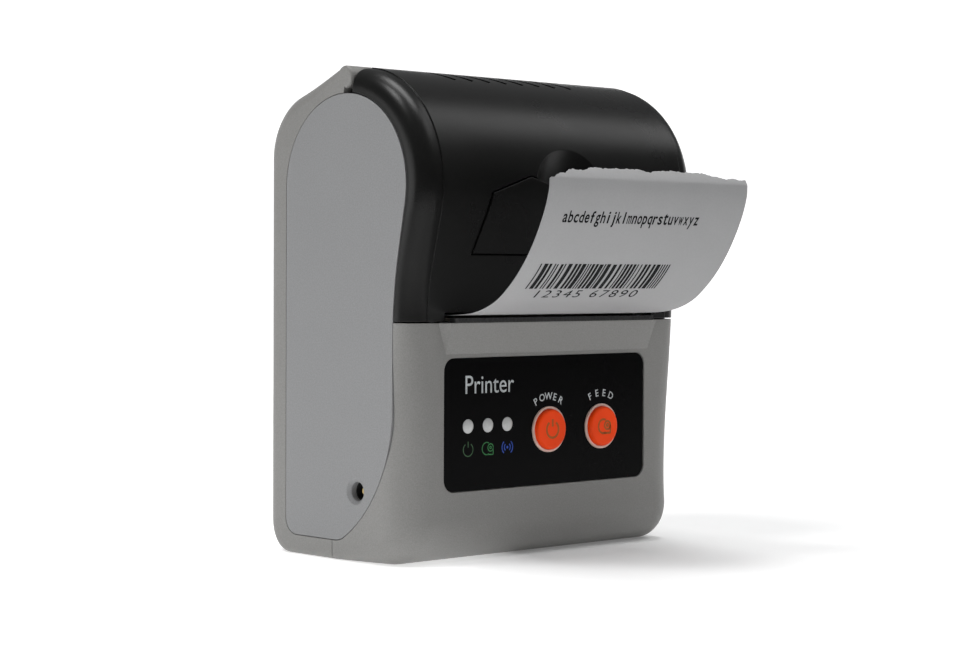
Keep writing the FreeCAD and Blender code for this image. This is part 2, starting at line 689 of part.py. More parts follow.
def paper_roll():
    paper = tube_x(ROLL_AXIS, FULL_ROLL_R, CORE_R, -PAPER_HALF, PAPER_HALF)
    add("paper_roll", paper)
    add("roll_core", tube_x(ROLL_AXIS, CORE_R, CORE_R - 1.2, -PAPER_HALF, PAPER_HALF))


def tangent_angle(first, first_r, second, second_r):
    """Angle on the first circle where an inner tangent leaves for the second one."""
    reach = math.hypot(second[0] - first[0], second[1] - first[1])
    away = math.degrees(math.acos((first_r + second_r) / reach))
    return (heading(first, second) - away) % 360


def paper_web():
    """Paper from the roll over the bin's lip, under the platen, out to the tear bar."""
    lip = polar(ROLL_CENTRE, BIN_R + BIN_WALL / 2, BIN_LIP)
    lip_r = BIN_WALL / 2 + 0.15
    under_r = PLATEN_R + 0.03
    leave = tangent_angle(lip, lip_r + PAPER_THICK / 2, PLATEN, under_r + PAPER_THICK / 2)
    roll_r = FULL_ROLL_R + 0.12
    start = 272.0
    end = 264.5
    outside = [arc(ROLL_AXIS, roll_r + PAPER_THICK, start, end), arc(lip, lip_r, 90, leave),
               arc(PLATEN, under_r + PAPER_THICK, leave + 180, 270),
               (-20.5, NIP_Z - 0.03 - PAPER_THICK)]
    inside = [(-20.5, NIP_Z - 0.03), arc(PLATEN, under_r, 270, leave + 180),
              arc(lip, lip_r + PAPER_THICK, leave, 90), arc(ROLL_AXIS, roll_r, end, start)]
    add("paper_web", slab(outside + inside, -PAPER_HALF, PAPER_HALF))


def paper_strip():
    """Printed end of the paper, curling up in front of the lid."""
    z = NIP_Z - 0.03 - PAPER_THICK / 2
    sweep = Part.BSplineCurve()
    sweep.interpolate([V(0, -20.6, z), V(0, -27.0, z + 0.9), V(0, -37.7, 57.9),
                       V(0, -44.4, 66.8), V(0, -47.8, 74.5)], InitialTangent=V(0, -1, 0.02),
                      FinalTangent=V(0, -0.25, 1.0))
    edge = sweep.toShape()
    curl = Part.Arc(V(0, -47.8, 74.5), V(0, -48.2, 77.6), V(0, -46.6, 79.6)).toShape()
    path = Part.Wire([edge, curl])
    ribbon = path.extrude(V(2 * PAPER_HALF, 0, 0))
    ribbon.translate(V(-PAPER_HALF, 0, 0))
    solid = ribbon.makeOffsetShape(PAPER_THICK / 2, 1e-4, fill=True)
    add("paper_strip", solid)


# ---------------------------------------------------------------- front details
def tear_bar():
    """Saw-toothed strip on the lip of the paper slot."""
    pitch = 1.0
    half = 29.5
    y_tip = FACE_Y - 2.7
    points = [(-half, -20.3)]
    for tooth in range(int(2 * half / pitch)):
        x = -half + pitch * tooth
        points += [(x, y_tip + 0.5), (x + pitch / 2, y_tip)]
    points += [(half, y_tip + 0.5), (half, -20.3)]
    ring = [V(x, y, CASE_TOP) for x, y in points]
    bar = Part.Face(Part.makePolygon(ring + [ring[0]])).extrude(V(0, 0, 1.0))
    add("tear_bar", bar)


def keypad():
    overlay = box(OVERLAY_X[0], OVERLAY_X[1], OVERLAY_Y, OVERLAY_Y + OVERLAY_THICK,
                  OVERLAY_Z[0], OVERLAY_Z[1])
    overlay = overlay.makeFillet(2.6, [edge for edge in overlay.Edges
                                       if abs(edge.tangentAt(edge.FirstParameter).y) > 0.99])
    holes = [rod_y(xz, BEZEL_R + RUN, -30, -10) for xz in (POWER_XZ, FEED_XZ)]
    holes += [rod_y(xz, LED_R + RUN, -30, -10) for xz in LED_XZ]
    add("keypad_overlay", cut(overlay, holes))
    rings = []
    for xz in (POWER_XZ, FEED_XZ):
        ring = tube_y(xz, BEZEL_R, BUTTON_R + RUN, OVERLAY_Y - 0.35, FACE_Y + WALL)
        rings.append(ring.fuse(tube_y(xz, BEZEL_R + 0.9, BUTTON_R - 0.3, FACE_Y + WALL,
                                      FACE_Y + WALL + 0.6)).removeSplitter())
    add("button_bezels", rings)


def button(name, xz):
    """Round key cap with a flange behind it and a stem to its switch."""
    crown_y = OVERLAY_Y - 1.3
    flange_y = FACE_Y + WALL + 0.6
    shoulder_y = FACE_Y + WALL - BUTTON_TRAVEL - 0.15
    cap = rod_y(xz, BUTTON_R, crown_y, shoulder_y)
    front = [edge for edge in cap.Edges if edge.CenterOfMass.y < crown_y + 0.01]
    cap = cap.makeFillet(0.6, front[:1])
    neck = rod_y(xz, BUTTON_R - 0.6, shoulder_y - 0.1, flange_y + 0.1)
    flange = rod_y(xz, BUTTON_R + 0.3, flange_y + 0.05, flange_y + 0.5)
    stem = rod_y(xz, 1.4, flange_y, BOARD_FRONT - 2.4)
    add(name, fuse([cap, neck, flange, stem]))


def switches():
    bodies = []
    for xz in (POWER_XZ, FEED_XZ):
        body = box(xz[0] - 3, xz[0] + 3, BOARD_FRONT - 1.8, BOARD_FRONT, xz[1] - 3, xz[1] + 3)
        bodies.append(body.cut(rod_y(xz, 1.25, BOARD_FRONT - 3, BOARD_FRONT - 0.5)))
    add("tact_switches", bodies)
    for name, xz in (("power_plunger", POWER_XZ), ("feed_plunger", FEED_XZ)):
        add(name, rod_y(xz, 1.2, BOARD_FRONT - 2.4, BOARD_FRONT - 1.1))


def indicator_leds():
    """Round lamps with a low domed front."""
    lenses = []
    dome_r = (LED_R ** 2 + LED_DOME ** 2) / (2 * LED_DOME)
    for xz in LED_XZ:
        rod = rod_y(xz, LED_R, OVERLAY_Y - LED_DOME, BOARD_FRONT)
        front = Part.makeSphere(dome_r, V(xz[0], OVERLAY_Y - LED_DOME + dome_r, xz[1]))
        dome = rod.common(front)
        stem = rod_y(xz, LED_R, OVERLAY_Y, BOARD_FRONT)
        lenses.append(dome.fuse(stem).removeSplitter())
    add("indicator_leds", lenses)


# ---------------------------------------------------------------- electronics
def main_board():
    board = box(-31.5, 31.5, BOARD_FRONT, BOARD_BACK, 5.0, 41.8)
    add("main_board", cut(board, [rod_y(xz, 1.1, -20, 0) for xz in BOARD_SCREWS]))
    screws = []
    for xz in BOARD_SCREWS:
        head = rod_y(xz, 1.8, BOARD_BACK, BOARD_BACK + 1.1)
        screws.append(head.fuse(rod_y(xz, 0.9, BOARD_FRONT - 3.0, BOARD_BACK)).removeSplitter())
    add("board_screws", screws)
    back = BOARD_BACK
    chips = [box(-4.5, 4.5, back, back + 1.2, 20.0, 29.0),
             box(11.0, 16.0, back, back + 1.0, 22.0, 28.0),
             box(-20.0, -14.0, back, back + 1.6, 8.0, 12.0),
             box(19.0, 23.0, back, back + 2.4, 15.0, 19.0)]
    chips += [rod_y((x, 33.0), 1.6, back, back + 4.2) for x in (19.0, 23.5)]
    add("board_components", chips)
    add("wireless_module", box(-24.0, -12.0, back, back + 2.0, 17.0, 32.0))
    add("cable_socket", box(-14.5, 14.5, back, -9.4, 33.6, 37.4))


def dc_jack():
    y, z = JACK_YZ
    inner = -HALF_WIDTH + PANEL_WALL
    body = box(inner, inner + 9.5, y - 2.9, y + 2.9, z - 2.9, z + 2.9)
    body = body.cut(rod_x(JACK_YZ, 1.9, inner - 1, inner + 7.5))
    add("dc_jack", body)
    add("jack_pin", rod_x(JACK_YZ, 0.65, inner + 0.4, inner + 7.5))
    leads = [rod_y((inner + 8.3, z + dz), 0.6, BOARD_BACK, y - 2.9) for dz in (-1.4, 1.4)]
    add("jack_leads", leads)


def battery():
    pack = box(-30.5, 30.5, 4.6, REAR_Y - WALL - 2.4, 3.2, 37.0)
    pack = pack.makeFillet(1.2, [edge for edge in pack.Edges
                                 if abs(edge.tangentAt(edge.FirstParameter).x) > 0.99
                                 and edge.CenterOfMass.z > 30])
    add("battery_pack", pack)
    add("battery_socket", box(-6.0, 6.0, BOARD_BACK, 1.0, 8.5, 14.0))
    add("battery_contacts", [box(x - 0.8, x + 0.8, 1.0, 4.6, 10.4, 12.0)
                             for x in (-4.0, 0.0, 4.0)])


def build():
    front_cover()
    rear_cover()
    side_panels()
    case_screws()
    battery_door()
    cover_shell()
    hinge_pin()
    cover_latch()
    cover_frame()
    platen()
    gear_train()
    print_frame()
    stepper_motor()
    print_head()
    ribbon_cable()
    paper_bin()
    paper_roll()
    paper_web()
    paper_strip()
    tear_bar()
    keypad()
    button("power_button", POWER_XZ)
    button("feed_button", FEED_XZ)
    switches()
    indicator_leds()
    main_board()
    dc_jack()
    battery()


build()
os.makedirs("parts", exist_ok=True)
for part_name, part_shape in PARTS.items():
    if not part_shape.isValid():
        print("not valid:", part_name)
    part_shape.exportStep("parts/" + part_name + ".step")
    print(part_name, len(part_shape.Solids), round(part_shape.Volume, 1))
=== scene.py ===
"""Looks of the portable thermal label printer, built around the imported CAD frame. Metres."""

import math
import random

import bmesh
import bpy
from mathutils import Euler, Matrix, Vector

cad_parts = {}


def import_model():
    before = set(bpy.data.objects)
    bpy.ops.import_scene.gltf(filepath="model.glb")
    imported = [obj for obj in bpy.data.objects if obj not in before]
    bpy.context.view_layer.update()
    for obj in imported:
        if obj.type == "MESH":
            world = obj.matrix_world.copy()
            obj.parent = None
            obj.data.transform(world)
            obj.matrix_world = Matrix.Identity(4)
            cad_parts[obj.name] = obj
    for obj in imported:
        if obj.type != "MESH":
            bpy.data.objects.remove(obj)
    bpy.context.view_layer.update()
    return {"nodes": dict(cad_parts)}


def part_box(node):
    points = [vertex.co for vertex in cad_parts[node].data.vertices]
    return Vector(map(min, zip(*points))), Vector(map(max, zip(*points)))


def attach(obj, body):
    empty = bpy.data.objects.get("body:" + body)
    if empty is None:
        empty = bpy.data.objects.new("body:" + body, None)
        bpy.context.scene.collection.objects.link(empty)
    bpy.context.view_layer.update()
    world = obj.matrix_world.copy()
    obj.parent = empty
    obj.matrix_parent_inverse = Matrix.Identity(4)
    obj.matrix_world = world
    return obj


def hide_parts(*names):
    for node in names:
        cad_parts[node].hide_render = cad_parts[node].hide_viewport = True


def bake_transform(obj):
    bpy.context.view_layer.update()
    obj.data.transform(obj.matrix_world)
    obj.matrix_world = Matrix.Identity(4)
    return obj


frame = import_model()
NODES = frame["nodes"]
MM = 0.001


def middle(node_name):
    """Centre of a CAD node's box."""
    low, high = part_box(node_name)
    return (low + high) / 2


# ---------------------------------------------------------------- node material helpers
def new_material(name):
    """New material with its node tree and its main shader."""
    made = bpy.data.materials.new(name)
    made.use_nodes = True
    return made, made.node_tree, made.node_tree.nodes["Principled BSDF"]


def add(tree, kind, links=None, **values):
    """New node; values name its attributes or inputs, links map an input to a socket."""
    made = tree.nodes.new("ShaderNode" + kind)
    for key, value in values.items():
        if hasattr(made, key):
            setattr(made, key, value)
        else:
            made.inputs[key.replace("_", " ")].default_value = value
    for key, socket in (links or {}).items():
        tree.links.new(socket, made.inputs[key])
    return made


def place(tree, stretch=(1, 1, 1)):
    """Position on the part in metres, stretched along its axes for brushed or wound grain."""
    where = add(tree, "TexCoord").outputs["Object"]
    return add(tree, "Mapping", {"Vector": where}, Scale=stretch).outputs["Vector"]


def noise(tree, where, scale, detail=3.0):
    """Noise of a given number of features per metre."""
    made = add(tree, "TexNoise", {"Vector": where}, Scale=scale, Detail=detail)
    return made.outputs["Fac"]


def spread(tree, value, low, high, start=0.3, end=0.7):
    """Map a noise value from start..end to low..high."""
    made = add(tree, "MapRange", {"Value": value}, From_Min=start, From_Max=end,
               To_Min=low, To_Max=high)
    return made.outputs["Result"]


def times(tree, first, second):
    """Product of two sockets."""
    made = add(tree, "Math", {0: first, 1: second}, operation="MULTIPLY")
    return made.outputs["Value"]


def tint(tree, colour, factor):
    """A colour made lighter or darker by a factor socket."""
    made = add(tree, "VectorMath", {"Scale": factor}, operation="SCALE")
    made.inputs[0].default_value = colour
    return made.outputs["Vector"]


def blend_colours(tree, factor, first, second):
    """Mix of two colours, each a socket or a plain colour."""
    made = add(tree, "Mix", {"Factor": factor}, data_type="RGBA")
    for name, colour in (("A", first), ("B", second)):
        socket = [s for s in made.inputs if s.name == name and s.type == "RGBA"][0]
        if isinstance(colour, tuple):
            socket.default_value = colour + (1.0,)
        else:
            tree.links.new(colour, socket)
    return [s for s in made.outputs if s.type == "RGBA"][0]


def edge_wear_and_sheen(tree, radius):
    """Rounded normal of sharp edges, and a mask that is 1 along them."""
    soft = add(tree, "Bevel", samples=6, Radius=radius).outputs["Normal"]
    flat = add(tree, "NewGeometry").outputs["Normal"]
    along = add(tree, "VectorMath", {0: soft, 1: flat}, operation="DOT_PRODUCT")
    mask = add(tree, "MapRange", {"Value": along.outputs["Value"]}, From_Min=0.995,
               From_Max=0.85, To_Min=0.0, To_Max=1.0)
    return soft, mask.outputs["Result"]


def bumped(tree, height, depth, normal=None):
    """Normal roughened by a height socket, depth in metres, over another normal if given."""
    made = add(tree, "Bump", {"Height": height}, Distance=depth, Strength=1.0)
    if normal is not None:
        tree.links.new(normal, made.inputs["Normal"])
    return made.outputs["Normal"]


# ---------------------------------------------------------------- materials
def moulded(name, colour, speckle=0.06, grain=5200, depth=0.00002, rough=0.5, edge_sheen=0.25,
            smudge=0.05, gloss_spread=0.08, specular=0.5):
    """Moulded plastic: fine spark texture, faint smudges, and edges lightened unevenly as a
    painted highlight.
    """
    made, tree, shader = new_material(name)
    where = place(tree)
    fine = noise(tree, where, grain, 2)
    broad = noise(tree, where, 45, 4)
    normal, edge = edge_wear_and_sheen(tree, 0.25 * MM)
    level = times(tree, spread(tree, fine, 1 - speckle, 1 + speckle),
                  spread(tree, broad, 1 - smudge, 1 + smudge))
    body = tint(tree, colour, level)
    # painted highlight: edges are lightened unevenly towards a paler colour by a mask from the
    # bevel
    sheen_colour = tuple(min(1.0, c * 1.35 + 0.05) for c in colour)
    sheen_mask = times(tree, edge, spread(tree, noise(tree, where, 900, 2), 0.2 * edge_sheen, edge_sheen))
    tree.links.new(blend_colours(tree, sheen_mask, body, sheen_colour), shader.inputs["Base Color"])
    tree.links.new(spread(tree, broad, rough - gloss_spread, rough + gloss_spread),
                   shader.inputs["Roughness"])
    shader.inputs["Specular IOR Level"].default_value = specular
    tree.links.new(bumped(tree, fine, depth, normal), shader.inputs["Normal"])
    return made


def glossy(name, colour, rough, depth=0.000004, specular=0.5):
    """Smooth plastic with a faint orange peel, fine dust in its gloss and a painted highlight
    along its edges.
    """
    made, tree, shader = new_material(name)
    where = place(tree)
    peel = noise(tree, where, 700, 2)
    dust = noise(tree, where, 9000, 2)
    normal, edge = edge_wear_and_sheen(tree, 0.2 * MM)
    level = spread(tree, noise(tree, where, 160, 3), 0.94, 1.06)
    # painted highlight: edges lightened where light would catch them
    lighter = tuple(min(1.0, c * 1.2 + 0.02) for c in colour)
    shade = blend_colours(tree, times(tree, edge, spread(tree, peel, 0.2, 0.4)),
                          tint(tree, colour, level), lighter)
    tree.links.new(shade, shader.inputs["Base Color"])
    tree.links.new(spread(tree, dust, rough, rough + 0.12, 0.5, 0.75), shader.inputs["Roughness"])
    shader.inputs["Specular IOR Level"].default_value = specular
    tree.links.new(bumped(tree, peel, depth, normal), shader.inputs["Normal"])
    return made


def metal(name, colour, rough, grain=(40, 1500, 1500)):
    """Bare metal with drawn or ground streaks and brighter rubbed edges."""
    made, tree, shader = new_material(name)
    streak = noise(tree, place(tree, grain), 1.0, 3)
    stain = noise(tree, place(tree), 260, 3)
    normal, edge = edge_wear_and_sheen(tree, 0.12 * MM)
    body = tint(tree, colour, times(tree, spread(tree, streak, 0.86, 1.1),
                                    spread(tree, stain, 0.9, 1.05)))
    bright = tuple(min(1.0, c * 1.25 + 0.05) for c in colour)
    tree.links.new(blend_colours(tree, times(tree, edge, spread(tree, stain, 0.4, 0.8)),
                                 body, bright), shader.inputs["Base Color"])
    shader.inputs["Metallic"].default_value = 1.0
    tree.links.new(spread(tree, streak, rough * 0.75, rough * 1.35), shader.inputs["Roughness"])
    tree.links.new(bumped(tree, streak, 0.000004, normal), shader.inputs["Normal"])
    return made


def paper_stock(name, colour):
    """Coated thermal paper, cool white in itself, with faint fibre mottle and soft sheen; the
    colour given is darkened to paint the shade it stands in.
    """
    made, tree, shader = new_material(name)
    where = place(tree)
    fibre = noise(tree, where, 2600, 4)
    cloud = noise(tree, where, 90, 3)
    level = times(tree, spread(tree, fibre, 0.97, 1.02), spread(tree, cloud, 0.97, 1.02))
    tree.links.new(tint(tree, colour, level), shader.inputs["Base Color"])
    tree.links.new(spread(tree, cloud, 0.5, 0.6), shader.inputs["Roughness"])
    shader.inputs["Specular IOR Level"].default_value = 0.35
    shader.inputs["Sheen Weight"].default_value = 0.1
    tree.links.new(bumped(tree, fibre, 0.000008), shader.inputs["Normal"])
    return made


def wound_paper(name, colour, centre):
    """Side and skin of the roll: fine rings of wound layers round the roll's axis."""
    made, tree, shader = new_material(name)
    where = add(tree, "TexCoord").outputs["Object"]
    offset = add(tree, "VectorMath", {0: where}, operation="SUBTRACT")
    offset.inputs[1].default_value = (0.0, centre.y, centre.z)
    flat = add(tree, "VectorMath", {0: offset.outputs["Vector"]}, operation="MULTIPLY")
    flat.inputs[1].default_value = (0.0, 1.0, 1.0)
    radius = add(tree, "VectorMath", {0: flat.outputs["Vector"]}, operation="LENGTH")
    layers = add(tree, "TexNoise", {"W": radius.outputs["Value"]}, noise_dimensions="1D",
                 Scale=9000.0, Detail=3.0).outputs["Fac"]
    fibre = noise(tree, where, 2200, 3)
    level = times(tree, spread(tree, layers, 0.86, 1.02), spread(tree, fibre, 0.97, 1.02))
    tree.links.new(tint(tree, colour, level), shader.inputs["Base Color"])
    tree.links.new(spread(tree, fibre, 0.6, 0.72), shader.inputs["Roughness"])
    tree.links.new(bumped(tree, layers, 0.00002), shader.inputs["Normal"])
    return made


def fibrous(name, colour):
    """Grey-brown core board with flecks."""
    made, tree, shader = new_material(name)
    where = place(tree, (1, 2.5, 2.5))
    fleck = noise(tree, where, 1500, 5)
    body = blend_colours(tree, spread(tree, fleck, 0.0, 1.0), colour,
                         tuple(c * 0.62 for c in colour))
    tree.links.new(body, shader.inputs["Base Color"])
    shader.inputs["Roughness"].default_value = 0.85
    tree.links.new(bumped(tree, fleck, 0.00003), shader.inputs["Normal"])
    return made


def ground_rubber(name, colour):
    """Platen rubber: matt, with the fine cross lines of grinding and a little paper dust."""
    made, tree, shader = new_material(name)
    lines = noise(tree, place(tree, (6000, 400, 400)), 1.0, 2)
    dust = noise(tree, place(tree), 1200, 4)
    body = blend_colours(tree, spread(tree, dust, 0.0, 0.25, 0.55, 0.8), colour,
                         (0.45, 0.45, 0.46))
    tree.links.new(body, shader.inputs["Base Color"])
    tree.links.new(spread(tree, lines, 0.55, 0.75), shader.inputs["Roughness"])
    tree.links.new(bumped(tree, lines, 0.00001), shader.inputs["Normal"])
    return made


def circuit_board(name, colour):
    """Green solder mask with faint square copper runs beneath it."""
    made, tree, shader = new_material(name)
    where = place(tree)
    runs = add(tree, "TexBrick", {"Vector": where}, Scale=420.0, Mortar_Size=0.09,
               Mortar_Smooth=0.3, Brick_Width=1.4, Row_Height=0.5)
    copper = times(tree, runs.outputs["Fac"], spread(tree, noise(tree, where, 220, 2), 0.0, 0.8))
    lighter = tuple(min(1.0, c * 1.9 + 0.02) for c in colour)
    tree.links.new(blend_colours(tree, copper, colour, lighter), shader.inputs["Base Color"])
    tree.links.new(spread(tree, noise(tree, where, 500, 2), 0.25, 0.4),
                   shader.inputs["Roughness"])
    tree.links.new(bumped(tree, copper, 0.00002), shader.inputs["Normal"])
    return made


def ink(name, colour, rough=0.6, patch=0.12, specular=0.3):
    """Printed ink, slightly uneven in strength."""
    made, tree, shader = new_material(name)
    where = place(tree)
    level = times(tree, spread(tree, noise(tree, where, 5200, 2), 1 - patch, 1 + patch),
                  spread(tree, noise(tree, where, 700, 2), 1 - patch, 1 + patch))
    tree.links.new(tint(tree, colour, level), shader.inputs["Base Color"])
    tree.links.new(spread(tree, noise(tree, where, 2500, 2), rough - 0.08, rough + 0.08),
                   shader.inputs["Roughness"])
    shader.inputs["Specular IOR Level"].default_value = specular
    return made


def lamp_lens(name, colour):
    """Milky lamp dome that passes a little light inside."""
    made, tree, shader = new_material(name)
    where = place(tree)
    haze = noise(tree, where, 1500, 2)
    tree.links.new(tint(tree, colour, spread(tree, haze, 0.94, 1.04)),
                   shader.inputs["Base Color"])
    tree.links.new(spread(tree, haze, 0.12, 0.22), shader.inputs["Roughness"])
    shader.inputs["Subsurface Weight"].default_value = 0.3
    shader.inputs["Subsurface Radius"].default_value = (0.0006, 0.0006, 0.0006)
    tree.links.new(bumped(tree, haze, 0.000004), shader.inputs["Normal"])
    return made


SILVER_WARM = (0.232, 0.229, 0.221)
SILVER_COOL = (0.256, 0.258, 0.262)
BLACK = (0.0055, 0.0055, 0.0053)

roll_centre = middle("paper_roll")
MATERIALS = {
    "case": moulded("case_silver", SILVER_WARM, speckle=0.1, grain=4200, depth=0.000016,
                    rough=0.46, edge_sheen=0.3, smudge=0.03, specular=0.45),
    "panel": moulded("panel_silver", SILVER_COOL, speckle=0.08, grain=3600, depth=0.000012,
                     rough=0.55, edge_sheen=0.5, smudge=0.03, specular=0.35),
    "lid": moulded("lid_black", BLACK, speckle=0.22, grain=4200, depth=0.000008, rough=0.29,
                   edge_sheen=0.1, smudge=0.12, gloss_spread=0.05, specular=0.22),
    "black": moulded("black_plastic", (0.018, 0.018, 0.018), speckle=0.2, rough=0.55, edge_sheen=0.1),
    "overlay": glossy("overlay_black", (0.002, 0.002, 0.0022), rough=0.2, specular=0.04),
    "bezel": glossy("bezel_pale", (0.78, 0.58, 0.5), rough=0.3),
    "button": glossy("button_orange", (1.0, 0.068, 0.005), rough=0.34, depth=0.000006,
                     specular=0.14),
    "lens": lamp_lens("led_white", (0.58, 0.59, 0.585)),
    "switch": moulded("switch_black", (0.03, 0.03, 0.03), rough=0.5),
    # painted shade: the paper's colour is darkened for the shade the strip stands in
    "paper": paper_stock("thermal_paper", (0.37, 0.37, 0.375)),
    "roll": wound_paper("wound_paper", (0.66, 0.66, 0.69), roll_centre),
    "core": fibrous("core_card", (0.42, 0.32, 0.22)),
    "rubber": ground_rubber("platen_rubber", (0.02, 0.02, 0.022)),
    "pin": metal("pin_steel", (0.6, 0.6, 0.6), rough=0.22),
    "screw": metal("screw_steel", (0.42, 0.42, 0.42), rough=0.35, grain=(900, 60, 900)),
    "spring": metal("spring_steel", (0.5, 0.5, 0.5), rough=0.25, grain=(800, 800, 800)),
    "sheet": metal("frame_steel", (0.5, 0.51, 0.52), rough=0.4, grain=(700, 700, 60)),
    "can": metal("motor_can", (0.52, 0.52, 0.5), rough=0.3, grain=(60, 900, 900)),
    "shield": metal("shield_steel", (0.6, 0.6, 0.57), rough=0.32, grain=(900, 900, 60)),
    "aluminium": metal("heatsink_aluminium", (0.7, 0.7, 0.71), rough=0.34,
                       grain=(30, 1800, 1800)),
    "brass": metal("contact_brass", (0.78, 0.58, 0.24), rough=0.3, grain=(900, 900, 900)),
    "ceramic": glossy("head_ceramic", (0.62, 0.57, 0.5), rough=0.2),
    "film": glossy("ribbon_film", (0.62, 0.33, 0.05), rough=0.25),
    "board": circuit_board("board_green", (0.015, 0.11, 0.04)),
    "chip": moulded("chip_black", (0.016, 0.016, 0.017), speckle=0.15, rough=0.6, edge_sheen=0.05),
    "socket": moulded("socket_cream", (0.72, 0.66, 0.54), rough=0.45),
    "lead": glossy("lead_red", (0.45, 0.015, 0.012), rough=0.4),
    "wrap": glossy("battery_wrap", (0.02, 0.05, 0.17), rough=0.28, depth=0.00001),
    "acetal": moulded("gear_white", (0.8, 0.8, 0.74), speckle=0.03, rough=0.4, edge_sheen=0.1),
}

NODE_LOOKS = {
    "case": ("front_cover", "rear_cover", "battery_door"),
    "panel": ("left_side_panel", "right_side_panel"),
    "lid": ("cover_shell", "cover_latch"),
    "black": ("paper_bin", "cover_frame", "tear_bar", "paper_sensor", "dc_jack"),
    "overlay": ("keypad_overlay",),
    "bezel": ("button_bezels",),
    "button": ("power_button", "feed_button"),
    "lens": ("indicator_leds",),
    "switch": ("tact_switches", "power_plunger", "feed_plunger"),
    "roll": ("paper_roll",),
    "core": ("roll_core",),
    "rubber": ("platen_rubber",),
    "pin": ("hinge_pin", "latch_pin", "platen_shaft", "idler_axle", "motor_shaft"),
    "screw": ("case_screws", "board_screws"),
    "spring": ("head_springs",),
    "sheet": ("print_frame",),
    "can": ("stepper_motor",),
    "shield": ("wireless_module",),
    "aluminium": ("head_heatsink",),
    "brass": ("jack_pin", "battery_contacts", "motor_pinion"),
    "ceramic": ("thermal_head",),
    "film": ("head_cable",),
    "board": ("main_board",),
    "chip": ("board_components",),
    "socket": ("cable_socket", "battery_socket"),
    "lead": ("jack_leads",),
    "wrap": ("battery_pack",),
    "acetal": ("platen_bushes", "platen_gear", "idler_gear"),
}


def dress_nodes():
    """Give every CAD node its material."""
    for look, names in NODE_LOOKS.items():
        for node_name in names:
            slots = NODES[node_name].data.materials
            if not slots:
                slots.append(MATERIALS[look])
            for index in range(len(slots)):
                slots[index] = MATERIALS[look]


dress_nodes()


# ---------------------------------------------------------------- mesh helpers
def mesh_object(name, vertices, faces, look, smooth=False):
    """New object from points and faces; look is a key of MATERIALS or a material."""
    mesh = bpy.data.meshes.new(name)
    mesh.from_pydata([tuple(v) for v in vertices], [], faces)
    mesh.materials.append(MATERIALS[look] if look in MATERIALS else look)
    if smooth:
        mesh.polygons.foreach_set("use_smooth", [True] * len(mesh.polygons))
    mesh.update()
    made = bpy.data.objects.new(name, mesh)
    bpy.context.scene.collection.objects.link(made)
    return made


def grid_faces(rows, columns):
    """Quads of a grid whose vertices are numbered row by row."""
    return [(r * columns + c, r * columns + c + 1, (r + 1) * columns + c + 1,
             (r + 1) * columns + c) for r in range(rows - 1) for c in range(columns - 1)]


def flat_text(words, height, width=None, bold=0.0, spacing=1.0):
    """Lettering as (vertices, faces) in a plane, height tall, scaled to a width if given."""
    curve = bpy.data.curves.new("lettering", "FONT")
    curve.body = words
    curve.offset = bold
    curve.space_character = spacing
    curve.resolution_u = 5
    holder = bpy.data.objects.new("lettering", curve)
    bpy.context.scene.collection.objects.link(holder)
    bpy.context.view_layer.update()
    mesh = bpy.data.meshes.new_from_object(holder)
    corners = [v.co.copy() for v in mesh.vertices]
    faces = [tuple(p.vertices) for p in mesh.polygons]
    bpy.data.objects.remove(holder)
    bpy.data.curves.remove(curve)
    bpy.data.meshes.remove(mesh)
    low = min(c.x for c in corners)
    high = max(c.x for c in corners)
    tall = max(c.y for c in corners)
    up = height / tall
    across = width / (high - low) if width else up
    return [((c.x - low) * across, c.y * up) for c in corners], faces


def stroke(points, thick):
    """Flat band of even thickness along a polyline of (x, z) points."""
    vertices = []
    for index, point in enumerate(points):
        before = Vector(points[max(index - 1, 0)])
        after = Vector(points[min(index + 1, len(points) - 1)])
        run = (after - before).normalized()
        side = Vector((-run.y, run.x)) * thick / 2
        vertices += [Vector(point) - side, Vector(point) + side]
    faces = [(2 * i, 2 * i + 2, 2 * i + 3, 2 * i + 1) for i in range(len(points) - 1)]
    return [(v.x, v.y) for v in vertices], faces


def arc_points(centre, radius, start, end, steps):
    """Points along an arc from angle start to angle end, in degrees."""
    return [(centre[0] + radius * math.cos(math.radians(start + (end - start) * i / steps)),
             centre[1] + radius * math.sin(math.radians(start + (end - start) * i / steps)))
            for i in range(steps + 1)]


def disc(centre, radius):
    """Filled circle as one flat face."""
    steps = 24
    ring = arc_points(centre, radius, 0, 360 - 360 / steps, steps - 1)
    return ring, [tuple(range(steps))]


def joined(shapes):
    """Several flat (vertices, faces) as one."""
    vertices = []
    faces = []
    for corners, polygons in shapes:
        base = len(vertices)
        vertices += corners
        faces += [tuple(i + base for i in polygon) for polygon in polygons]
    return vertices, faces


def moved(shape, x, z, angle=0.0):
    """Flat shape turned and shifted within its plane."""
    corners, faces = shape
    cos = math.cos(angle)
    sin = math.sin(angle)
    return [(x + cx * cos - cz * sin, z + cx * sin + cz * cos) for cx, cz in corners], faces


# ---------------------------------------------------------------- keypad print
PRINT_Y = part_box("keypad_overlay")[0].y - 0.015 * MM
power_at = middle("power_button")
feed_at = middle("feed_button")
leds_low, leds_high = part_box("indicator_leds")
LED_R = (leds_high.z - leds_low.z) / 2
LED_Z = (leds_low.z + leds_high.z) / 2
LED_X = [leds_low.x + LED_R, middle("indicator_leds").x, leds_high.x - LED_R]

INK_WHITE = ink("ink_white", (0.5, 0.53, 0.54))
INK_GREEN = ink("ink_green", (0.035, 0.19, 0.06))
INK_DIM = ink("ink_dim_green", (0.045, 0.11, 0.05))
INK_BLUE = ink("ink_blue", (0.025, 0.075, 0.4))
INK_AMBER = ink("ink_amber", (0.42, 0.10, 0.012))
INK_DARK = ink("ink_print", (0.008, 0.008, 0.009), patch=0.3, specular=0.08)


def printed(name, shape, look, y=None, body="chassis"):
    """Flat shape laid on the keypad, facing the user."""
    corners, faces = shape
    depth = PRINT_Y if y is None else y
    made = mesh_object(name, [(x, depth, z) for x, z in corners],
                       [tuple(reversed(f)) for f in faces], look)
    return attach(made, body)


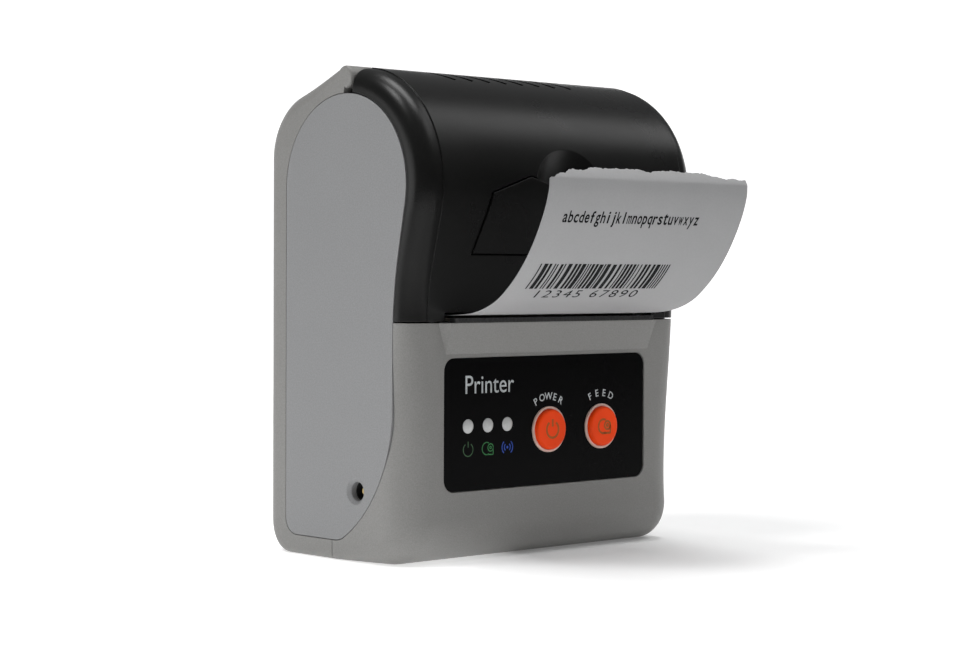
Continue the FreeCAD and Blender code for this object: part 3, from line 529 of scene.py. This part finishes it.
def arched_word(word, centre, radius, height, gap):
    """Letters standing on an arc over a key."""
    shapes = []
    for index, letter in enumerate(word):
        letter_shape = flat_text(letter, height, bold=0.012)
        wide = max(x for x, z in letter_shape[0])
        angle = (index - (len(word) - 1) / 2) * gap / radius
        centred = ([(x - wide / 2, z) for x, z in letter_shape[0]], letter_shape[1])
        shapes.append(moved(centred, centre.x + radius * math.sin(angle),
                            centre.z + radius * math.cos(angle), -angle))
    return joined(shapes)


def power_symbol(centre, radius, thick):
    """Open ring with a bar in its gap."""
    ring = stroke(arc_points(centre, radius, 125, 415, 30), thick)
    bar = stroke([(centre[0], centre[1] + radius * 0.35), (centre[0], centre[1] + radius * 1.25)],
                 thick)
    return joined([ring, bar])


def paper_symbol(centre, size, thick):
    """Small roll with its loose end hanging."""
    x, z = centre
    return joined([
        stroke(arc_points((x - size * 0.2, z), size * 0.75, 60, 300, 20), thick),
        stroke(arc_points((x + size * 0.45, z + size * 0.1), size * 0.45, 0, 360, 20), thick),
        stroke(arc_points((x + size * 0.45, z + size * 0.1), size * 0.14, 0, 360, 12), thick),
        stroke([(x + size * 0.9, z + size * 0.1), (x + size * 0.9, z - size * 0.75)], thick),
        stroke([(x + size * 0.9, z - size * 0.75), (x - size * 0.1, z - size * 0.75)], thick)])


def wireless_symbol(centre, size, thick):
    """Dot with waves on both sides."""
    waves = [disc(centre, size * 0.16)]
    for radius in (0.5, 0.9):
        waves.append(stroke(arc_points(centre, size * radius, -50, 50, 10), thick))
        waves.append(stroke(arc_points(centre, size * radius, 130, 230, 10), thick))
    return joined(waves)


def keypad_print():
    """Title, marks under the lamps and the two key names."""
    title = flat_text("Printer", 3.7 * MM, 13.8 * MM)
    printed("print_title", moved(title, LED_X[0] - 0.8 * MM, LED_Z + 6.7 * MM), INK_WHITE)
    icon_z = LED_Z - 4.8 * MM
    icon = 1.7 * MM
    line = 0.22 * MM
    printed("icon_power", power_symbol((LED_X[0], icon_z), 1.35 * MM, line), INK_DIM)
    printed("icon_paper", paper_symbol((LED_X[1], icon_z), icon, line), INK_GREEN)
    printed("icon_wireless", wireless_symbol((LED_X[2], icon_z), icon, 0.26 * MM), INK_BLUE)
    letter = 1.5 * MM
    printed("word_power", arched_word("POWER", power_at, 6.3 * MM, letter, 1.75 * MM), INK_WHITE)
    printed("word_feed", arched_word("FEED", feed_at, 6.5 * MM, letter, 2.0 * MM), INK_WHITE)


def key_glyphs():
    """Amber marks on the two key caps."""
    for name, centre in (("power", power_at), ("feed", feed_at)):
        face_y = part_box(name + "_button")[0].y - 0.012 * MM
        at = (centre.x, centre.z)
        if name == "power":
            shape = power_symbol(at, 1.75 * MM, 0.5 * MM)
        else:
            shape = paper_symbol(at, 2.0 * MM, 0.45 * MM)
        printed(name + "_glyph", shape, INK_AMBER, face_y, name + "_button")


keypad_print()
key_glyphs()


# ---------------------------------------------------------------- paper
platen_at = middle("platen_rubber")
platen_low, platen_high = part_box("platen_rubber")
PLATEN_R = (platen_high.z - platen_low.z) / 2
web_low, web_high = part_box("paper_web")
strip_low, strip_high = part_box("paper_strip")
PAPER_HALF = (strip_high.x - strip_low.x) / 2
PAPER_THICK = 0.10 * MM
SLOT_Y = web_low.y
NIP_Z = platen_low.z - 0.1 * MM
ROLL_R = (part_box("paper_roll")[1].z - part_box("paper_roll")[0].z) / 2


def smooth_path(points, step):
    """Points at even spacing along a Catmull-Rom curve through the given (y, z) points."""
    dense = []
    padded = [2 * points[0] - points[1]] + points + [2 * points[-1] - points[-2]]
    for a, b, c, d in zip(padded, padded[1:], padded[2:], padded[3:]):
        for i in range(40):
            t = i / 40
            dense.append(0.5 * ((2 * b) + (c - a) * t + (2 * a - 5 * b + 4 * c - d) * t * t
                                + (3 * b - a - 3 * c + d) * t ** 3))
    dense.append(points[-1])
    return even(dense, step)


def even(dense, step):
    """Resample a polyline at a spacing close to step."""
    lengths = [0.0]
    for a, b in zip(dense, dense[1:]):
        lengths.append(lengths[-1] + (b - a).length)
    count = max(2, round(lengths[-1] / step))
    result = []
    index = 0
    for i in range(count + 1):
        goal = lengths[-1] * i / count
        while index < len(dense) - 2 and lengths[index + 1] < goal:
            index += 1
        share = (goal - lengths[index]) / max(1e-12, lengths[index + 1] - lengths[index])
        result.append(dense[index].lerp(dense[index + 1], min(1.0, share)))
    return result


def turn(centre, radius, start, end, step):
    """Points along an arc in the (y, z) plane, close to step apart, angles in degrees."""
    steps = max(2, round(abs(math.radians(end - start)) * radius / step))
    return [Vector(point) for point in arc_points(centre, radius, start, end, steps)]


STEP = 0.5 * MM
LIP_Y = -4.35 * MM          # front lip of the paper bin
# the strip beyond the slot, in millimetres forward of it and above it
STRIP_SHAPE = [(6.4, 0.7), (12.4, 3.0), (17.2, 6.9), (20.8, 11.1), (23.8, 15.9),
               (26.1, 20.8), (27.3, 24.7)]
CREASE = (27.5, 27.0)
CURL = 3.4 * MM             # paper beyond the crease, leaning back over it
FOLD_ANGLE = math.radians(26)
CURL_ANGLE = math.radians(18)
BOW = 1.3 * MM              # how far the right edge of the strip stands forward
RAGGED = 0.75 * MM          # size of the tears in the torn end
FRAY = 0.05 * MM            # loose fibres along it
COLUMNS = 150               # mesh points across the sheet
CURL_ROWS = 9               # mesh rows beyond the crease


def inner_path():
    """Centreline from the roll's underside, over the bin's lip and under the platen."""
    under = PLATEN_R + 0.08 * MM
    roll = turn((roll_centre.y, roll_centre.z), ROLL_R + 0.16 * MM, 272, 266, STEP)
    lip = Vector((LIP_Y, web_high.z - 0.25 * MM))
    wrap = turn((platen_at.y, platen_at.z), under, 316.7, 270, STEP)
    return smooth_path([roll[0], roll[-1], lip, wrap[0].lerp(lip, 0.3), wrap[0]], STEP)[:-1] + wrap


def strip_path():
    """Points of the strip from under the platen to its crease, and the crease itself."""
    slot = Vector((SLOT_Y, NIP_Z))
    points = [Vector((platen_at.y, NIP_Z)), slot]
    points += [slot + Vector((-forward, up)) * MM for forward, up in STRIP_SHAPE]
    crease = slot + Vector((-CREASE[0], CREASE[1])) * MM
    return points, crease


def paper_rows():
    """Rows of the whole sheet as (y, z), finer where it leaves the case; and the slot's row."""
    points, crease = strip_path()
    run = even([points[0], points[1] + Vector((2 * MM, 0))], STEP)[:-1]
    fine = even([points[1] + Vector((2 * MM, 0)), points[1]], 0.1 * MM)[:-1]
    outside = smooth_path(points[1:] + [crease], STEP)
    rows = inner_path()[:-1] + run + fine
    slot_row = len(rows)
    return rows + outside, slot_row


def lengths_from(rows, first):
    """Length along the sheet from row number first, for each row."""
    result = [0.0] * len(rows)
    for i in range(first + 1, len(rows)):
        result[i] = result[i - 1] + (rows[i] - rows[i - 1]).length
    for i in range(first - 1, -1, -1):
        result[i] = result[i + 1] - (rows[i + 1] - rows[i]).length
    return result


ROWS, SLOT_ROW = paper_rows()
LENGTHS = lengths_from(ROWS, SLOT_ROW)


def bow(x, along):
    """How far forward the right side of the paper bows, a given length beyond the slot."""
    share = max(0.0, x / PAPER_HALF)
    rise = min(1.0, max(0.0, along) / (10 * MM))
    return BOW * share ** 2 * rise * rise * (3 - 2 * rise)


def on_paper(x, along, lift):
    """Point on the printed side of the strip, a given length beyond the slot."""
    for index in range(SLOT_ROW, len(ROWS) - 1):
        if LENGTHS[index + 1] >= along:
            break
    run = ROWS[index + 1] - ROWS[index]
    share = (along - LENGTHS[index]) / run.length
    here = ROWS[index] + run * share
    out = Vector((run.y, -run.x)).normalized()
    if out.x > 0 and out.y > 0:
        out = -out
    return Vector((x, here.x + out.x * lift - bow(x, along), here.y + out.y * lift))


def torn_reach(x, ragged):
    """How far the torn end stands beyond the crease at a place across the strip."""
    from_left = (x + PAPER_HALF) / (2 * PAPER_HALF)
    rise = 1 - math.exp(-from_left / 0.12)
    fall = 1 - 0.55 * max(0.0, from_left - 0.62) / 0.38
    bite = 0.22 * math.exp(-((from_left - 0.52) / 0.05) ** 2)
    return CURL * max(0.04, rise * fall - bite) + ragged


def torn_teeth(rng):
    """Ragged offsets across the torn end, coarse and fine tears added up."""
    teeth = [0.0] * COLUMNS
    for reach, size in ((9, 0.35), (4, 0.3), (2, 0.28), (1, 0.16)):
        marks = [rng.uniform(-size, size) for _ in range(COLUMNS // reach + 2)]
        for c in range(COLUMNS):
            share = (c % reach) / reach
            teeth[c] += marks[c // reach] * (1 - share) + marks[c // reach + 1] * share
    return teeth


def past_crease(reach):
    """Point (y, z) of the paper a given length beyond the crease: a sharp fold, then a curl."""
    last_run = ROWS[-1] - ROWS[-2]
    end_angle = math.atan2(last_run.y, last_run.x)
    here = ROWS[-1].copy()
    parts = 6
    for part in range(parts):
        along = reach * (part + 0.5) / parts
        bend = min(1.0, along / (0.5 * MM)) * FOLD_ANGLE + along / CURL * CURL_ANGLE
        here += Vector((math.cos(end_angle - bend), math.sin(end_angle - bend))) * reach / parts
    return here


def paper_sheet():
    """The whole sheet from the roll to its torn end; it joins the chassis to the lid."""
    rng = random.Random(7)
    teeth = torn_teeth(rng)
    xs = [-PAPER_HALF + 2 * PAPER_HALF * c / (COLUMNS - 1) for c in range(COLUMNS)]
    vertices = []
    for row, along in zip(ROWS, LENGTHS):
        vertices += [Vector((x, row.x - bow(x, along), row.y)) for x in xs]
    for r in range(1, CURL_ROWS + 1):
        for c, x in enumerate(xs):
            here = past_crease(torn_reach(x, teeth[c] * RAGGED) * r / CURL_ROWS)
            fray = rng.uniform(-FRAY, FRAY) * r / CURL_ROWS
            vertices.append(Vector((x, here.x + fray - bow(x, LENGTHS[-1]), here.y)))
    faces = grid_faces(len(ROWS) + CURL_ROWS, COLUMNS)
    sheet = mesh_object("paper_sheet", vertices, faces, "paper", smooth=True)
    solid = sheet.modifiers.new("thickness", "SOLIDIFY")
    solid.thickness = PAPER_THICK
    solid.offset = 0.0
    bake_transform(sheet)
    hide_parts("paper_web", "paper_strip")


def wrapped(name, shape):
    """Flat print (x across, second value along the strip) laid on the curved paper."""
    corners, faces = shape
    work = bmesh.new()
    made = [work.verts.new((x, s, 0)) for x, s in corners]
    for face in faces:
        try:
            work.faces.new([made[i] for i in face])
        except ValueError:
            continue
    low = min(s for x, s in corners)
    high = max(s for x, s in corners)
    cuts = math.ceil((high - low) / (0.6 * MM))
    for i in range(1, cuts):
        everything = work.verts[:] + work.edges[:] + work.faces[:]
        bmesh.ops.bisect_plane(work, geom=everything, plane_no=(0, 1, 0),
                               plane_co=(0, low + (high - low) * i / cuts, 0))
    for vertex in work.verts:
        vertex.co = on_paper(vertex.co.x, vertex.co.y, PAPER_THICK / 2 + 0.02 * MM)
    mesh = bpy.data.meshes.new(name)
    work.to_mesh(mesh)
    work.free()
    mesh.materials.append(INK_DARK)
    laid = bpy.data.objects.new(name, mesh)
    bpy.context.scene.collection.objects.link(laid)
    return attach(laid, "paper_cover")


def bar_pattern():
    """Upright bars of one to three modules, in a made-up order."""
    rng = random.Random(21)
    left, right = -24.0 * MM, 14.9 * MM
    bottom, top = 17.2 * MM, 24.0 * MM
    module = 0.36 * MM
    shapes = []
    x = left
    while x < right - 3 * module:
        wide = module * rng.choice((1, 1, 1, 2, 2, 3))
        tall = top if rng.random() > 0.1 else top - 0.1 * MM
        shapes.append(([(x, bottom), (x + wide, bottom), (x + wide, tall), (x, tall)],
                       [(0, 1, 2, 3)]))
        x += wide + module * rng.choice((1, 1, 1, 2, 2))
    return joined(shapes)


def alphabet():
    """Row of small letters at even pitch, each narrowed to fit its place."""
    letters = "abcdefghijklmnopqrstuvwxyz"
    left, along = -23.3 * MM, 33.5 * MM
    pitch = 39.8 * MM / len(letters)
    shapes = []
    for index, letter in enumerate(letters):
        corners, faces = flat_text(letter, 1.0, bold=0.018)
        span = max(x for x, z in corners)
        size = 2.45 * MM if letter in "bdfhijklt" else 1.75 * MM
        across = min(0.82 * pitch, span * size) / span
        start = left + pitch * (index + 0.5) - span * across / 2
        shapes.append(([(start + x * across, along + z * size) for x, z in corners], faces))
    return joined(shapes)


def paper_print():
    """Alphabet, bars and digits on the strip."""
    wrapped("print_letters", alphabet())
    wrapped("print_bars", bar_pattern())
    digits = flat_text("12345 67890", 2.3 * MM, 29.5 * MM, spacing=1.25)
    wrapped("print_digits", moved(digits, -19.6 * MM, 14.4 * MM))


paper_sheet()
paper_print()


# ---------------------------------------------------------------- camera, light and floor
def camera():
    """Eye near the height of the tear bar, 43 degrees round to the left, 82 mm lens."""
    data = bpy.data.cameras.new("camera")
    eye = bpy.data.objects.new("camera", data)
    bpy.context.scene.collection.objects.link(eye)
    eye.location = Vector((-333.3, -353.0, 59.96)) * MM
    azimuth, down, roll = math.radians(-43.12), math.radians(1.42), math.radians(0.25)
    turned = Euler((math.radians(90) - down, 0, azimuth), "XYZ").to_quaternion()
    eye.rotation_mode = "QUATERNION"
    eye.rotation_quaternion = turned @ Euler((0, 0, roll), "XYZ").to_quaternion()
    data.lens = 81.72
    data.sensor_width = 36.0
    data.shift_x = 0.01255
    data.shift_y = 0.0011
    data.clip_start = 0.01
    bpy.context.scene.camera = eye


AIM = Vector((0, 0, 0.05))  # the middle of the part, where every light points


def area_light(name, where, size, watts):
    """Soft box at a place, pointing at the part."""
    data = bpy.data.lights.new(name, "AREA")
    data.shape = "RECTANGLE"
    data.size, data.size_y = size
    data.energy = watts
    lamp = bpy.data.objects.new(name, data)
    lamp.location = where
    lamp.rotation_mode = "QUATERNION"
    lamp.rotation_quaternion = (Vector(where) - AIM).to_track_quat("Z", "Y")
    bpy.context.scene.collection.objects.link(lamp)


GLOW = 0.8                  # light that the far side of the dish gives by itself
FLOOR_GLOW = 0.55           # the same for the floor to the left of the part
FLAG_SHADE = 0.3            # tone of the dish's other sides, which flag the light
FAR_SIDE = (0.68, 0.73, 0.0)
LEFT_SIDE = (-0.91, 0.41, 0.0)
FLOOR_R = 1.3               # flat part of the dish
RIM_R = 0.7                 # radius of the curve up to its rim
AROUND = 96                 # mesh points round the dish
FLOOR_DROP = 0.02 * MM      # keeps the floor just clear of the part's base


def dish_material():
    """Pale paper whose far side glows and whose other sides are darker."""
    made, tree, shader = new_material("backdrop_paper")
    shader.inputs["Roughness"].default_value = 0.9
    shader.inputs["Specular IOR Level"].default_value = 0.1
    where = add(tree, "TexCoord").outputs["Object"]
    away = add(tree, "VectorMath", {0: where}, operation="LENGTH").outputs["Value"]
    # cosine of the bearing from the middle of the dish, 1 on its far side
    bearing = add(tree, "VectorMath", {0: where}, operation="NORMALIZE").outputs["Vector"]
    far = add(tree, "VectorMath", {0: bearing}, operation="DOT_PRODUCT")
    far.inputs[1].default_value = FAR_SIDE
    side = spread(tree, far.outputs["Value"], 0.0, 1.0, 0.25, 0.75)
    near = spread(tree, away, 1.0, 0.0, 0.35, 0.8)
    pale = add(tree, "Math", {0: side, 1: near}, operation="MAXIMUM").outputs["Value"]
    shade = times(tree, spread(tree, noise(tree, place(tree), 6, 2), 0.90, 0.93),
                  spread(tree, pale, FLAG_SHADE, 1.0, 0.0, 1.0))
    tree.links.new(tint(tree, (1, 1, 1), shade), shader.inputs["Base Color"])
    # painted light: the far side glows by itself as if lit from behind, the floor to the left of
    # the part only a little
    lit = times(tree, side, spread(tree, away, 0.0, GLOW, 0.1, 0.7))
    left = add(tree, "VectorMath", {0: bearing}, operation="DOT_PRODUCT")
    left.inputs[1].default_value = LEFT_SIDE
    beside = times(tree, near, spread(tree, left.outputs["Value"], 0.12, FLOOR_GLOW, -0.2, 0.6))
    glow = add(tree, "Math", {0: lit, 1: beside}, operation="MAXIMUM")
    shader.inputs["Emission Color"].default_value = (1, 1, 1, 1)
    tree.links.new(glow.outputs["Value"], shader.inputs["Emission Strength"])
    return made


def backdrop():
    """Round pale dish: a flat floor that curves up all round."""
    profile = [(0.0, 0.0), (0.3, 0.0), (FLOOR_R, 0.0)]
    profile += [(FLOOR_R + RIM_R * math.sin(a), RIM_R * (1 - math.cos(a)))
                for a in [math.radians(6 * i) for i in range(1, 15)]]
    vertices = []
    for radius, height in profile:
        for i in range(AROUND):
            angle = 2 * math.pi * i / AROUND
            vertices.append((radius * math.cos(angle), radius * math.sin(angle),
                             height - FLOOR_DROP))
    faces = []
    for ring in range(len(profile) - 1):
        for i in range(AROUND):
            j = (i + 1) % AROUND
            faces.append((ring * AROUND + i, ring * AROUND + j,
                          (ring + 1) * AROUND + j, (ring + 1) * AROUND + i))
    made = dish_material()
    mesh_object("floor", vertices, faces, made, smooth=True)


def world():
    """Weak, even light from all round."""
    sky = bpy.data.worlds.new("studio")
    sky.use_nodes = True
    shade = sky.node_tree.nodes["Background"]
    shade.inputs["Color"].default_value = (0.98, 0.99, 1.0, 1)
    shade.inputs["Strength"].default_value = 0.2
    bpy.context.scene.world = sky


def soft_boxes():
    """Name, place, size and power of each light."""
    for name, where, size, watts in (
            ("key", (0.3, -0.5, 0.8), (0.4, 0.4), 1.3),
            ("side", (-0.8, 0.42, 0.12), (0.6, 0.35), 1.6),
            ("top", (0.05, 0.0, 0.95), (0.6, 0.3), 4.5),
            ("right", (0.72, -0.26, 0.8), (0.3, 0.55), 1.1),
            ("streak", (-0.42, 0.1, 0.9), (0.22, 0.22), 2.6)):
        area_light(name, where, size, watts)


camera()
backdrop()
world()
soft_boxes()
bpy.context.scene.view_settings.view_transform = "Standard"
